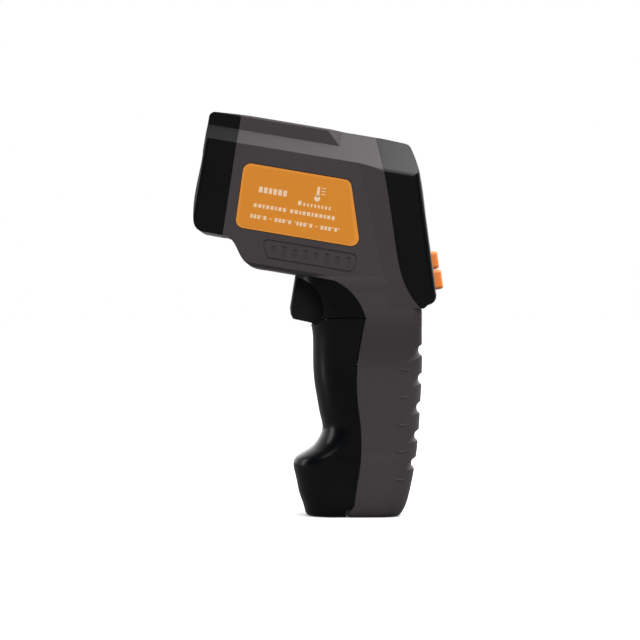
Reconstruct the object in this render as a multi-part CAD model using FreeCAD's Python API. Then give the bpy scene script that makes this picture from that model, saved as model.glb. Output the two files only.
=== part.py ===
"""Pistol-grip infrared thermometer, standing on the flat base of its handle.

+Z is up, the nose points along -X, and the object is symmetric about the plane y = 0 apart from its screws.
The origin is on the base plane, at the middle of the overall length.
All sizes are in millimetres.
"""

import FreeCAD
import Part
import math
import os

V = FreeCAD.Vector

# ---- driving dimensions ----
TILT_DEG = 9.5            # the barrel slopes down towards the rear by this much
NOSE_X = -41.04           # where the barrel's top line meets the plane of the nose
NOSE_Z = 154.09
SIDE = 20.5               # half width of the barrel
REAR_SIDE = 21.3          # half width at the rear cover
GRIP_TOP_SIDE = 20.45     # half width of the handle where it runs into the barrel
HUMP_SIDE = 15.7          # half width of the raised ridge over the front of the barrel
TOP_W = 1.25              # height of the top face above the barrel's datum line
UNDER_W = -55.5           # height of the underside above the same line
SHOULDER_Y = 10.4         # where the sloping shoulder starts on the top face
SHOULDER_W = -10.0        # and how far down it ends on the side
WALL = 2.2                # moulded wall
NOSE_CORNER_R = 2.4       # rounding of the upright edges at the nose
REAR_CORNER_R = 3.0       # and at the rear face
SEAM = 0.15               # visible gap between fixed mouldings
GAP = 0.4                 # gap round a moving moulding
PIN_FIT = 0.05            # radial clearance of a shaft in its bore

TRIGGER_PIN = (-5.0, 96.4)
TRIGGER_HALF = 6.5
DOOR_PIN = (12.2, 1.8)
DOOR_TOP_R = 73.84        # the top edge of the battery door is an arc about its hinge
GROOVE_HEIGHTS = (62.9, 51.9, 40.9, 30.2, 19.6)
BATTERY = (17.5, 26.5, 46.4)       # a nine volt block
BATTERY_X0, BATTERY_Z0 = 7.6, 7.0  # its front lower edge
GROOVE_TILT = 36.0        # the grooves run down towards the sides at this angle
KNUCKLE_R = 1.8

FACE_TILT = math.radians(7.7)   # slope of the flat rear face
FACE_X, FACE_Z = 41.0, 115.2    # a point on it
LENS_W = -27.0                  # height of the sensor's axis in the barrel
LASER_W = -10.8                 # height of the laser's axis

SCREW_PLACES = [("barrel", 24.0, -9.0), ("barrel", 24.0, -48.0),
                ("barrel", 60.0, -13.0), ("barrel", 60.0, -50.0),
                ("world", 30.6, 62.2), ("world", 30.4, 8.8)]

ORIGIN_SHIFT = V(-0.463, 0, 0)      # puts the origin under the middle of the overall length

TILT = math.radians(TILT_DEG)
BARREL_FRAME = FreeCAD.Placement(V(NOSE_X, 0, NOSE_Z), FreeCAD.Rotation(V(0, 1, 0), TILT_DEG))
FACE_FRAME = FreeCAD.Placement(V(FACE_X, 0, FACE_Z), FreeCAD.Rotation(V(0, 1, 0), -math.degrees(FACE_TILT)))
nodes = {}


# ---- frames and outlines ----
def barrel(u, w):
    """A point u along the barrel and w above its top line, as (x, z)."""
    return (NOSE_X + u * math.cos(TILT) + w * math.sin(TILT),
            NOSE_Z - u * math.sin(TILT) + w * math.cos(TILT))


def face(s, n):
    """A point s down the rear face and n out of it, as (x, z)."""
    return (FACE_X + s * math.sin(FACE_TILT) + n * math.cos(FACE_TILT),
            FACE_Z - s * math.cos(FACE_TILT) + n * math.sin(FACE_TILT))


def side(point):
    return V(point[0], 0, point[1])


def outline(start, *steps):
    """A closed wire in the plane y = 0. A step is a point, ("arc", middle, end) or ("curve", points)."""
    edges = []
    here = start
    for step in list(steps) + [start]:
        if step[0] == "arc":
            edges.append(Part.Arc(side(here), side(step[1]), side(step[2])).toShape())
            here = step[2]
        elif step[0] == "curve":
            curve = Part.BSplineCurve()
            curve.interpolate([side(here)] + [side(p) for p in step[1]])
            edges.append(curve.toShape())
            here = step[1][-1]
        elif step != here:
            edges.append(Part.makeLine(side(here), side(step)))
            here = step
    return Part.Wire(edges)


def rounded(corners):
    """A closed wire in the plane y = 0 through (x, z, radius) corners."""
    starts, ends, middles = [], [], []
    count = len(corners)
    for i, (x, z, r) in enumerate(corners):
        p = V(x, 0, z)
        before = V(corners[i - 1][0], 0, corners[i - 1][1]) - p
        after = V(corners[(i + 1) % count][0], 0, corners[(i + 1) % count][1]) - p
        before.normalize()
        after.normalize()
        half = before.getAngle(after) / 2
        reach = r / math.tan(half)
        bisector = before + after
        bisector.normalize()
        starts.append(p + before * reach)
        ends.append(p + after * reach)
        middles.append(p + bisector * (r / math.sin(half) - r))
    edges = []
    for i in range(count):
        if corners[i][2] > 0:
            edges.append(Part.Arc(starts[i], middles[i], ends[i]).toShape())
        follower = starts[(i + 1) % count]
        if ends[i].distanceToPoint(follower) > 1e-6:
            edges.append(Part.makeLine(ends[i], follower))
    return Part.Wire(edges)


def moved_out(wire, distance):
    """The wire moved outwards, or inwards below zero, with its free curves redrawn as plain splines."""
    edges = []
    for edge in wire.makeOffset2D(distance).Edges:
        if isinstance(edge.Curve, (Part.Line, Part.Circle)):
            edges.append(edge)
        else:
            curve = Part.BSplineCurve()
            curve.interpolate(edge.discretize(15))
            edges.append(curve.toShape())
    return Part.Wire(Part.__sortEdges__(edges))


def prism(wire, y0, y1):
    """The solid between y0 and y1 whose side view is the wire."""
    if y0 > y1:
        y0, y1 = y1, y0
    solid = Part.Face(wire).extrude(V(0, y1 - y0, 0))
    solid.translate(V(0, y0, 0))
    return solid


def polygon(*points):
    return outline(points[0], *points[1:])


def both_sides(shape):
    return [shape, shape.mirror(V(0, 0, 0), V(0, 1, 0))]


def rod(x, z, radius, y0, y1):
    """A cylinder across the object."""
    return Part.makeCylinder(radius, abs(y1 - y0), V(x, min(y0, y1), z), V(0, 1, 0))


def in_barrel(shape):
    """Moves a shape drawn with x along the barrel and z up from its top line into place."""
    moved = shape.copy()
    moved.Placement = BARREL_FRAME.multiply(moved.Placement)
    return moved


def tube_u(w, radius, u0, u1):
    """A cylinder along the barrel."""
    return in_barrel(Part.makeCylinder(radius, u1 - u0, V(u0, 0, w), V(1, 0, 0)))


def box_u(u0, u1, y0, y1, w0, w1):
    return in_barrel(Part.makeBox(u1 - u0, y1 - y0, w1 - w0, V(u0, y0, w0)))


def on_face(shape):
    """Moves a shape drawn with x out of the rear face and z up along it into place."""
    moved = shape.copy()
    moved.Placement = FACE_FRAME.multiply(moved.Placement)
    return moved


def box_face(s0, s1, y0, y1, n0, n1):
    return on_face(Part.makeBox(n1 - n0, y1 - y0, s1 - s0, V(n0, y0, -s1)))


def rod_face(s, y, radius, n0, n1):
    return on_face(Part.makeCylinder(radius, n1 - n0, V(n0, y, -s), V(1, 0, 0)))


# ---- the outer body, and the same body shrunk by the wall ----
def section(inset, bottom, bottom_radius):
    """The barrel's cross-section, drawn with x across and z up."""
    top = TOP_W - inset
    reach = REAR_SIDE - inset
    slope = (TOP_W - SHOULDER_W) / (SIDE - SHOULDER_Y)
    back = inset * math.hypot(1, slope) / slope
    shoulder_top = SHOULDER_Y - back + inset / slope
    shoulder_foot = TOP_W - (REAR_SIDE - inset + back - SHOULDER_Y) * slope
    half = [(shoulder_top, top, 0.8), (reach, shoulder_foot, 2.2), (reach, bottom, bottom_radius)]
    return rounded([(x, z, r) for x, z, r in half] + [(-x, z, r) for x, z, r in reversed(half)])


def along_barrel(wire, u0, u1):
    """A cross-section carried from u0 to u1."""
    turned = wire.copy()
    turned.rotate(V(0, 0, 0), V(0, 0, 1), 90)
    solid = Part.Face(turned).extrude(V(u1 - u0, 0, 0))
    solid.translate(V(u0, 0, 0))
    return in_barrel(solid)


def head_profile():
    """The side view of the barrel with its rear cover."""
    b = barrel
    return outline(
        b(0.1, -2.2),
        ("arc", b(0.65, -0.3), b(2.4, 0.5)),
        ("arc", b(38.0, 1.75), b(75.2, 0.8)),
        ("arc", b(77.2, 0.1), (35.9, 140.0)),
        ("curve", [(38.4, 132.3), (39.7, 125.6), (41.0, 115.2), (42.3, 105.6), (43.9, 93.8), (44.75, 86.0)]),
        ("arc", (44.3, 82.2), (41.8, 80.7)),
        (40.4, 79.4),
        (18.6, 79.4),
        (15.8, 81.5),
        (12.3, 85.7),
        b(58.0, UNDER_W),
        b(34.5, UNDER_W),
        ("curve", [(-22.2, 94.75), (-26.4, 96.2), (-28.9, 98.9),
                   (-31.4, 103.9), (-33.2, 106.1), (-36.7, 107.25)]),
        b(5.2, -45.4),
        ("curve", [b(1.9, -43.8), b(0.5, -39.6), b(-0.2, -30.1), b(0.1, -14.6)]),
    )


def side_trim(inset):
    """What is cut off each side: the flank is flat up to a slanting crease, then flares to the rear cover."""
    start = barrel(59.2, -9.7)
    end = barrel(77.9, -57.1)
    down = V(end[0] - start[0], 0, end[1] - start[1])
    down.normalize()
    back = V(-down.z, 0, down.x)
    if back.x < 0:
        back = back * -1
    origin = side(start) - down * 40
    flat, wide = SIDE - inset, REAR_SIDE - inset
    points = [(-120, flat), (0, flat), (8, wide), (8, 40), (-120, 40)]
    corners = [origin + back * d + V(0, y, 0) for d, y in points]
    wedge = Part.Face(Part.makePolygon(corners + [corners[0]])).extrude(down * 140)
    low = [(60, flat), (79.4, flat), (94, wide), (94, 40), (60, 40)]
    corners = [V(-20, y, z) for z, y in low]
    foot = Part.Face(Part.makePolygon(corners + [corners[0]])).extrude(V(100, 0, 0))
    return both_sides(wedge) + both_sides(foot)


GRIP = [
    # height, front, back, half width, front corner radius, back corner radius
    (0.0, -3.2, 30.0, 14.6, 10.5, 7.5),
    (0.7, -4.2, 31.6, 15.7, 11.3, 8.4),
    (2.2, -4.9, 32.8, 16.4, 11.8, 9.0),
    (4.8, -5.6, 34.0, 16.8, 12.0, 9.4),
    (8.0, -6.8, 34.95, 17.0, 12.0, 9.5),
    (14.0, -8.15, 36.3, 17.1, 12.0, 9.5),
    (17.6, -9.0, 36.95, 17.1, 12.0, 9.5),
    (19.8, -9.3, 37.3, 17.1, 12.0, 9.5),
    (21.8, -8.8, 37.6, 17.1, 12.0, 9.5),
    (24.0, -6.0, 37.9, 17.0, 12.0, 9.5),
    (26.5, -2.1, 38.2, 17.0, 12.0, 9.5),
    (29.6, 0.4, 38.45, 17.0, 12.0, 9.5),
    (33.2, 1.85, 38.8, 17.0, 12.0, 9.5),
    (38.0, 1.15, 39.1, 17.0, 12.0, 9.5),
    (45.0, -0.2, 39.5, 17.0, 12.0, 9.5),
    (52.0, -1.3, 39.9, 17.0, 12.0, 9.5),
    (59.0, -1.75, 40.05, 17.3, 12.0, 9.0),
    (66.0, -1.8, 39.9, 18.6, 12.4, 7.5),
    (72.0, -2.2, 39.75, 19.9, 12.8, 5.5),
    (77.0, -4.0, 39.7, GRIP_TOP_SIDE, 13.0, 4.5),
    (84.0, -7.8, 39.7, GRIP_TOP_SIDE, 13.0, 4.0),
    (92.0, -9.0, 39.7, GRIP_TOP_SIDE, 13.0, 4.0),
]


def grip_section(z, front, back, half, front_r, back_r, inset):
    """One level of the handle: a rectangle with rounded corners."""
    x0, x1, y = front + inset, back - inset, half - inset
    rf, rb = front_r - inset, max(back_r - inset, 1.5)
    d = math.sqrt(0.5)

    def p(x, yy):
        return V(x, yy, z)

    def corner(cx, cy, r, sx, sy, first_along_x):
        a = p(cx + sx * r, cy)
        b = p(cx, cy + sy * r)
        m = p(cx + sx * r * d, cy + sy * r * d)
        if first_along_x:
            return Part.Arc(b, m, a).toShape()
        return Part.Arc(a, m, b).toShape()

    edges = [
        Part.makeLine(p(x0, y - rf), p(x0, -y + rf)),
        corner(x0 + rf, -y + rf, rf, -1, -1, False),
        Part.makeLine(p(x0 + rf, -y), p(x1 - rb, -y)),
        corner(x1 - rb, -y + rb, rb, 1, -1, True),
        Part.makeLine(p(x1, -y + rb), p(x1, y - rb)),
        corner(x1 - rb, y - rb, rb, 1, 1, False),
        Part.makeLine(p(x1 - rb, y), p(x0 + rf, y)),
        corner(x0 + rf, y - rf, rf, -1, 1, True),
    ]
    return Part.Wire(edges)


def grip_solid(inset):
    levels = [row for row in GRIP if row[0] >= (8.0 if inset else 0.0)]
    if inset:
        levels = [(WALL, -5.2, 33.4, 16.4, 12.0, 9.4)] + levels
    return Part.makeLoft([grip_section(*row, inset) for row in levels], True, False)


def scoop(grown):
    """The hollow in front of the handle's neck, where the trigger swings."""
    wire = outline((-40.0, 73.3), (0.2, 73.3), (2.1, 77.0), ("arc", (0.0, 85.9), (-7.0, 91.1)),
                   (-8.5, 92.6), (-8.5, 110.0), (-40.0, 110.0))
    if grown:
        wire = wire.makeOffset2D(grown)
    return prism(wire, -40, 40)


def head_solid(inset):
    """The barrel and rear cover as one block."""
    wire = head_profile()
    if inset:
        wire = moved_out(wire, -inset)
    profile = prism(wire, -40, 40)
    front = along_barrel(section(inset, UNDER_W + inset, max(4.0 - inset, 1.0)), -10, 66)
    full = along_barrel(section(inset, -100, 0), 40, 120)
    lower = prism(polygon(barrel(50, -30), barrel(57.5, UNDER_W), (12.3, 85.7), (15.8, 81.5),
                          (18.6, 70), (70, 70), (70, 160), (5, 160)), -40, 40)
    block = front.fuse(full.common(lower))
    ridge_foot = -4.9
    ridge = rounded([(HUMP_SIDE - inset, TOP_W - inset, 1.0), (HUMP_SIDE - inset, -12, 0),
                     (-HUMP_SIDE + inset, -12, 0), (-HUMP_SIDE + inset, TOP_W - inset, 1.0)])
    ridge = along_barrel(ridge, -10, 52)
    for part in both_sides(ridge_end(inset, ridge_foot)):
        ridge = ridge.cut(part)
    block = block.fuse(ridge)
    solid = block.common(profile)
    for part in side_trim(inset):
        solid = solid.cut(part)
    if not inset:
        for part in both_sides(nose_corner()) + both_sides(rear_corner()):
            solid = solid.cut(part)
    return solid.removeSplitter()


def nose_corner():
    """What is cut away to round the upright edge at the front of the nose."""
    front = -0.25
    block = Part.makeBox(NOSE_CORNER_R + 5, 8, 80, V(front - 5, SIDE - NOSE_CORNER_R, -70))
    round_off = Part.makeCylinder(NOSE_CORNER_R, 80, V(front + NOSE_CORNER_R, SIDE - NOSE_CORNER_R, -70))
    return in_barrel(block.cut(round_off))


def rear_corner():
    """What is cut away to round the upright edge of the rear cover."""
    block = Part.makeBox(REAR_CORNER_R + 8, 8, 80, V(-REAR_CORNER_R, REAR_SIDE - REAR_CORNER_R, -50))
    round_off = Part.makeCylinder(REAR_CORNER_R, 80, V(-REAR_CORNER_R, REAR_SIDE - REAR_CORNER_R, -50))
    return on_face(block.cut(round_off))


def ridge_end(inset, foot):
    """The slanting facet that ends the ridge on one side."""
    top, out = TOP_W, HUMP_SIDE
    a, b, c = V(44.8, out, top), V(51.2, out, foot), V(51.2, SHOULDER_Y, top)
    normal = (b - a).cross(c - a)
    normal.normalize()
    if normal.x < 0:
        normal = normal * -1
    a = a - normal * inset
    across = (c - b)
    across.normalize()
    other = normal.cross(across)
    ring = [a + across * p + other * q for p, q in ((-40, -40), (40, -40), (40, 40), (-40, 40))]
    cutter = Part.Face(Part.makePolygon(ring + [ring[0]])).extrude(normal * 40)
    limit = Part.makeBox(60, 40, 60, V(40, 0, -30))
    return in_barrel(cutter.common(limit))


def body(inset):
    column = grip_solid(inset).cut(scoop(inset * 0.9))
    return head_solid(inset).fuse(column)


# ---- regions that divide the body into its mouldings ----
def nose_region(grow):
    b = barrel
    return prism(polygon(b(-20, 20), b(11.6 + grow, 20), b(13.0 + grow, -70), b(-20, -70)), -40, 40)


def rear_region(grow):
    wire = outline((21.6, 150.0), ("curve", [(22.6, 144.2), (24.5, 135.6), (26.2, 126.4), (28.9, 109.0),
                                              (31.9, 92.2), (33.8, 87.2), (36.4, 82.9), (38.9, 79.8)]),
                   (39.3, 79.2), (60.0, 79.2), (60.0, 150.0))
    if grow:
        wire = moved_out(wire, grow)
    return prism(wire, -40, 40)


def neck_region(grow):
    """The black fixed moulding round the trigger."""
    b = barrel
    low = DOOR_TOP_R + GAP
    angle = [math.atan2(math.sqrt(low ** 2 - (x - DOOR_PIN[0]) ** 2), x - DOOR_PIN[0])
             for x in (18.1, 0.0, -20.0)]
    right, middle, left = [(DOOR_PIN[0] + low * math.cos(a), DOOR_PIN[1] + low * math.sin(a)) for a in angle]
    wire = outline(b(30.0, UNDER_W), b(57.0, UNDER_W), ("arc", (12.6, 85.5), right), ("arc", middle, left))
    if grow:
        wire = wire.makeOffset2D(grow)
    return prism(wire, -40, 40)


def door_region(grow):
    """The battery door: the front of the handle, below the neck."""
    top = DOOR_TOP_R + grow
    points = [DOOR_PIN[0] - 32.0, DOOR_PIN[0] - 12.2, 18.1 + grow]
    arc = [(x, DOOR_PIN[1] + math.sqrt(top ** 2 - (x - DOOR_PIN[0]) ** 2)) for x in points]
    g = grow
    wire = outline(arc[0], ("arc", arc[1], arc[2]),
                   ("curve", [(17.1 + g, 72.0), (16.1 + g, 66.3), (14.9 + g, 59.2), (14.6 + g, 51.6),
                              (14.9 + g, 44.0), (15.8 + g, 36.8), (16.3 + g, 29.4), (16.1 + g, 21.9),
                              (14.9 + g, 13.6)]),
                   (13.6 + g, 4.4), (12.2, 1.8), (12.2, -8.0), (-30.0, -8.0), (-30.0, 60.0))
    return prism(wire, -40, 40)


def label_wire(grow):
    """The outline of the side label, with its corners rounded."""
    b = barrel
    corners = [b(16.3, -16.9), b(57.2, -17.0), b(65.0, -41.5), b(16.9, -41.5)]
    wire = rounded([(x, z, 3.0) for x, z in corners])
    return wire.makeOffset2D(grow) if grow else wire


def plate_wire(shrink):
    """The moulded panel below the label."""
    b = barrel
    corners = [b(27.2 + shrink, -44.1 - shrink), b(64.6 - shrink, -44.1 - shrink),
               b(64.2 - shrink, -51.4 + shrink), b(30.6 + shrink, -51.4 + shrink)]
    return rounded([(x, z, 2.0) for x, z in corners])


# ---- mouldings ----
outer = body(0)
inner = body(WALL)
walls = outer.cut(inner)


def finger_grooves():
    """Five shallow grooves across the back of the handle, each running down and dying out on both sides."""
    radius, depth, side_depth = 2.5, 1.1, 0.32
    grooves = []
    for height in GROOVE_HEIGHTS:
        back = grip_at(height, 2)
        half, corner = grip_at(height - 4.0, 3), grip_at(height - 4.0, 5)
        reach = corner + radius - depth
        wider = half - corner + depth - side_depth

        def at(degrees, sign):
            angle = math.radians(degrees)
            return V(-corner + reach * math.cos(angle), sign * (wider + reach * math.sin(angle)), 0)

        path = Part.Wire([
            Part.Arc(at(90, -1), at(45, -1), at(0, -1)).toShape(),
            Part.makeLine(at(0, -1), at(0, 1)),
            Part.Arc(at(0, 1), at(45, 1), at(90, 1)).toShape(),
        ])
        circle = Part.Wire([Part.makeCircle(radius, at(90, -1), V(1, 0, 0))])
        tool = path.makePipeShell([circle], True, False)
        for sign in (-1, 1):
            tool = tool.fuse(Part.makeSphere(radius, at(90, sign)))
        tool.Placement = FreeCAD.Placement(V(back, 0, height), FreeCAD.Rotation(V(0, 1, 0), -GROOVE_TILT))
        grooves.append(tool)
    return grooves


def grip_at(height, column):
    """One of the handle's measures, between the levels of GRIP."""
    for lower, upper in zip(GRIP, GRIP[1:]):
        if lower[0] <= height <= upper[0]:
            share = (height - lower[0]) / (upper[0] - lower[0])
            return lower[column] + share * (upper[column] - lower[column])


def boss_axis(kind, a, c):
    return barrel(a, c) if kind == "barrel" else (a, c)


HEAD_Y = 3.0              # the screws' heads bear here
BOSS_R, WELL_R, SHANK_R, HEAD_R = 4.2, 3.1, 1.3, 2.6


def half_shell(sign):
    """One half of the main housing: -1 is the left, +1 the right, which takes the screws."""
    shell = walls.cut(nose_region(SEAM)).cut(rear_region(SEAM)).cut(neck_region(SEAM)).cut(door_region(GAP))
    keep = Part.makeBox(200, 40, 200, V(-100, SEAM / 2 if sign > 0 else -40 - SEAM / 2, -20))
    shell = shell.common(keep)
    for kind, a, c in SCREW_PLACES:
        x, z = boss_axis(kind, a, c)
        if sign > 0:
            shell = shell.fuse(rod(x, z, BOSS_R, SEAM / 2, 30).common(outer))
        else:
            shell = shell.fuse(rod(x, z, 3.2, -SEAM / 2, -30).common(outer))
    x, z = TRIGGER_PIN
    shell = shell.fuse(rod(x, z, 3.4, sign * (TRIGGER_HALF + GAP), sign * 30).common(outer))
    shell = shell.fuse(hinge_bar(sign))
    for kind, a, c in SCREW_PLACES:
        x, z = boss_axis(kind, a, c)
        if sign > 0:
            shell = shell.cut(rod(x, z, WELL_R, HEAD_Y, 40))
            shell = shell.cut(rod(x, z, SHANK_R + 0.15, -1, 40))
        else:
            shell = shell.cut(rod(x, z, SHANK_R, 1, -10))
    x, z = TRIGGER_PIN
    shell = shell.cut(rod(x, z, 1.5 + PIN_FIT, sign * 2, sign * 17.2))
    shell = shell.cut(rod(*DOOR_PIN, 1.2 + PIN_FIT, sign * -1, sign * 9.6))
    shell = shell.cut(rod(*DOOR_PIN, KNUCKLE_R + GAP, sign * -1, sign * (4.0 + GAP)))
    opening = prism(polygon((-9.8, 88), (3.4, 88), (3.4, 98.6), (-9.8, 98.6)),
                    -TRIGGER_HALF - GAP, TRIGGER_HALF + GAP)
    shell = shell.cut(opening)
    shell = shell.cut(prism(label_wire(0.25), sign * (SIDE - 0.5), sign * 30))
    for cutter in panel_marks(sign) + finger_grooves():
        shell = shell.cut(cutter)
    return shell


def panel_marks(sign):
    """What is sunk into the side below the label: the panel's outline and a row of plain ovals in it."""
    depth = sign * (SIDE - 0.3)
    cutters = [prism(plate_wire(0), depth, sign * 30).cut(prism(plate_wire(0.55), depth, sign * 30))]
    for i in range(8):
        u = 32.6 + i * 4.1
        tall = 2.1 if i % 2 else 1.6
        corners = [barrel(u - 0.8, -47.8 + tall), barrel(u + 0.8, -47.8 + tall),
                   barrel(u + 0.8, -47.8 - tall), barrel(u - 0.8, -47.8 - tall)]
        cutters.append(prism(rounded([(x, z, 0.75) for x, z in corners]), depth, sign * 30))
    return cutters


def hinge_bar(sign):
    """The part of the handle's foot that carries the battery door's pin."""
    x, z = DOOR_PIN
    bar = rod(x, z, KNUCKLE_R, sign * (4.0 + GAP), sign * 13.6)
    block = prism(polygon((x, 0.0), (x + 4, 0.0), (x + 4, 3.6), (x, 3.6)), sign * (4.0 + GAP), sign * 13.6)
    return bar.fuse(block)


def battery_door():
    x, z = DOOR_PIN
    door = walls.common(door_region(0))
    door = door.cut(rod(x, z, KNUCKLE_R + GAP, -40, 40))
    notch = prism(polygon((-30, 60), (30, 60), (30, 90), (-30, 90)), -TRIGGER_HALF - 1, TRIGGER_HALF + 1)
    door = door.cut(notch.cut(rod(x, z, DOOR_TOP_R - 1.9, -40, 40)))
    knuckle = rod(x, z, KNUCKLE_R - 0.05, -4, 4)
    web = prism(polygon((6.5, 0.4), (x - 0.5, 0.6), (x - 0.5, 3.0), (6.5, 2.6)), -4, 4)
    door = door.fuse(web).fuse(knuckle).cut(rod(x, z, 1.2 + PIN_FIT, -10, 10))
    return door


def nose_bezel():
    bezel = walls.common(nose_region(0))
    bezel = bezel.fuse(tube_u(LENS_W, 12.6, 1.0, 9.0)).fuse(tube_u(LASER_W, 4.6, 1.0, 9.0))
    horn = in_barrel(Part.makeCone(10.6, 9.4, 6.0, V(-1.0, 0, LENS_W), V(1, 0, 0)))
    bezel = bezel.cut(horn).cut(tube_u(LENS_W, 11.2, 4.0, 10.0))
    bezel = bezel.cut(tube_u(LASER_W, 2.6, -2.0, 10.0)).cut(tube_u(LASER_W, 3.4, 2.4, 10.0))
    return bezel


KEY_HALF = 10.5
KEYS = {"upper": (14.2, 20.9, 2.8), "lower": (21.35, 28.8, 3.3)}
WINDOW = (-18.2, 10.8, 12.6)       # top, bottom and half width of the display window on the rear face


def window_block(grow, n0, n1):
    s0, s1, y = WINDOW
    corners = [(n, s, r) for n, s, r in ((-y - grow, -s1 - grow, 1.6), (y + grow, -s1 - grow, 1.6),
                                         (y + grow, -s0 + grow, 1.6), (-y - grow, -s0 + grow, 1.6))]
    wire = rounded(corners)
    wire.rotate(V(0, 0, 0), V(0, 0, 1), 90)
    block = Part.Face(wire).extrude(V(n1 - n0, 0, 0))
    block.translate(V(n0, 0, 0))
    return on_face(block)


def key_block(s0, s1, y, n0, n1, radius):
    wire = rounded([(-y, -s1, radius), (y, -s1, radius), (y, -s0, radius), (-y, -s0, radius)])
    wire.rotate(V(0, 0, 0), V(0, 0, 1), 90)
    block = Part.Face(wire).extrude(V(n1 - n0, 0, 0))
    block.translate(V(n0, 0, 0))
    return on_face(block)


BOARD_FRONT = -10.2
BOARD_BACK = -11.8
BOARD_SCREWS = [(-16.5, -14.4), (-16.5, 14.4), (27.0, -14.6), (27.0, 14.6)]


def rear_cover():
    cover = walls.common(rear_region(0))
    for s, y in BOARD_SCREWS:
        cover = cover.fuse(rod_face(s, y, 2.0, BOARD_FRONT, 4).common(outer))
    for s, y in BOARD_SCREWS:
        cover = cover.cut(rod_face(s, y, 0.9, BOARD_FRONT - 1, BOARD_FRONT + 6))
    cover = cover.cut(window_block(SEAM, -12, 6))
    cover = cover.cut(key_block(KEYS["upper"][0] - GAP, KEYS["lower"][1] + GAP, KEY_HALF + GAP, -6, 8, 1.6))
    return cover


def lcd_window():
    """The clear window: flat inside, and curved with the rear face outside."""
    return outer.common(window_block(0, -1.3, 6))


def key(name):
    s0, s1, proud = KEYS[name]
    cap = key_block(s0, s1, KEY_HALF, -3.4, proud, 1.2)
    edge = 0.9
    rim = []
    limit = on_face(Part.makeBox(0.6, 60, 60, V(proud - 0.3, -30, -s1 - 20)))
    for e in cap.Edges:
        if limit.distToShape(Part.Vertex(e.CenterOfMass))[0] < 0.05:
            rim.append(e)
    cap = cap.makeFillet(edge, rim)
    top = s0 - (1.2 if name == "upper" else 0.0)
    bottom = s1 + (1.2 if name == "lower" else 0.0)
    flange = box_face(top, bottom, -KEY_HALF - 1.2, KEY_HALF + 1.2, -3.6, -2.7)
    middle = (s0 + s1) / 2
    stem = rod_face(middle, 0, 2.4, -5.6, -3.4)
    return cap.fuse(flange).fuse(stem)


def key_switch(name):
    """A tactile switch: the case, and the plunger that its key presses."""
    s = (KEYS[name][0] + KEYS[name][1]) / 2
    case = box_face(s - 3, s + 3, -3, 3, BOARD_FRONT, BOARD_FRONT + 3.5)
    case = case.cut(rod_face(s, 0, 1.7 + PIN_FIT, BOARD_FRONT + 0.6, BOARD_FRONT + 6))
    plunger = rod_face(s, 0, 1.7, BOARD_FRONT + 1.8, -5.6)
    return case, plunger


def trigger():
    pivot = TRIGGER_PIN
    wire = outline((-8.0, 96.0), (-10.6, 80.0), (-10.35, 77.3), (-9.4, 75.5), (-2.4, 74.0), (-1.9, 73.0),
                   (0.3, 73.05), (3.6, 75.4),
                   (5.0, 77.2), (5.0, 80.6), (3.2, 84.5), (1.0, 92.5), ("arc", (-3.2, 100.2), (-8.0, 96.0)))
    lever = prism(wire, -TRIGGER_HALF, TRIGGER_HALF)
    front = []
    for e in lever.Edges:
        c = e.CenterOfMass
        if abs(abs(c.y) - TRIGGER_HALF) < 0.01 and c.x < -8.6:
            front.append(e)
    lever = lever.makeFillet(1.4, front)
    pocket = rod(*pivot, SPRING_R + SPRING_WIRE + GAP, SPRING_Y - SPRING_WIRE - GAP, TRIGGER_HALF + 1)
    groove = spring_leg(SPRING_WIRE + 0.3, 10.0)
    return lever.cut(pocket).cut(groove).cut(rod(*pivot, 1.5 + PIN_FIT, -20, 20))


def neck():
    """The moulding behind the trigger: its slot, a roof tying the cheeks, and lips behind the door's gap."""
    part = walls.common(neck_region(0))
    roof = prism(polygon((5.6, 89.3), (8.6, 87.6), (13.5, 82.6), (14.4, 81.2), (12.6, 80.2), (11.6, 81.6),
                         (7.0, 86.2), (5.6, 87.0)), -25, 25).common(outer)
    part = part.fuse(roof)
    slot = prism(polygon((-12, 70), (5.9, 70), (5.9, 86.2), (4.2, 96), (-12, 96)), -TRIGGER_HALF - GAP,
                 TRIGGER_HALF + GAP)
    part = part.cut(slot)
    for sign in (-1, 1):
        front = prism(polygon((3.4, 73.2), (8.4, 73.2), (8.4, 77.8), (3.4, 77.8)), sign * 7.2, sign * 8.4)
        rear = prism(polygon((14.9, 73.8), (18.4, 73.8), (18.4, 76.6), (16.8, 78.2), (14.9, 78.2)),
                     sign * 16.2, sign * 17.2)
        root = prism(polygon((14.9, 76.8), (16.8, 76.8), (16.8, 78.2), (14.9, 78.2)),
                     sign * 16.2, sign * 19.0)
        part = part.fuse(front).fuse(rear).fuse(root)
    return part


SWITCH_X = 8.2


def trigger_switch():
    case = Part.makeBox(6.3, 5.8, 12.8, V(SWITCH_X, -2.9, 66.6))
    return case.cut(Part.makeCylinder(1.2 + PIN_FIT, 5, V(SWITCH_X - 1, 0, 78.0 - 1.6), V(1, 0, 0)))


def trigger_plunger():
    return Part.makeCylinder(1.2, 4.0, V(5.0 + GAP, 0, 76.4), V(1, 0, 0))


SPRING_R, SPRING_WIRE, SPRING_TURNS = 4.2, 0.35, 3
SPRING_Y = TRIGGER_HALF - 3.2


def spring_leg(wire_r, length):
    """The spring's leg that pushes on the trigger, or the groove it lies in."""
    x, z = TRIGGER_PIN
    return Part.makeCylinder(wire_r, length, V(x + SPRING_R, SPRING_Y, z), V(0.5, 0, -1))


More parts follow.
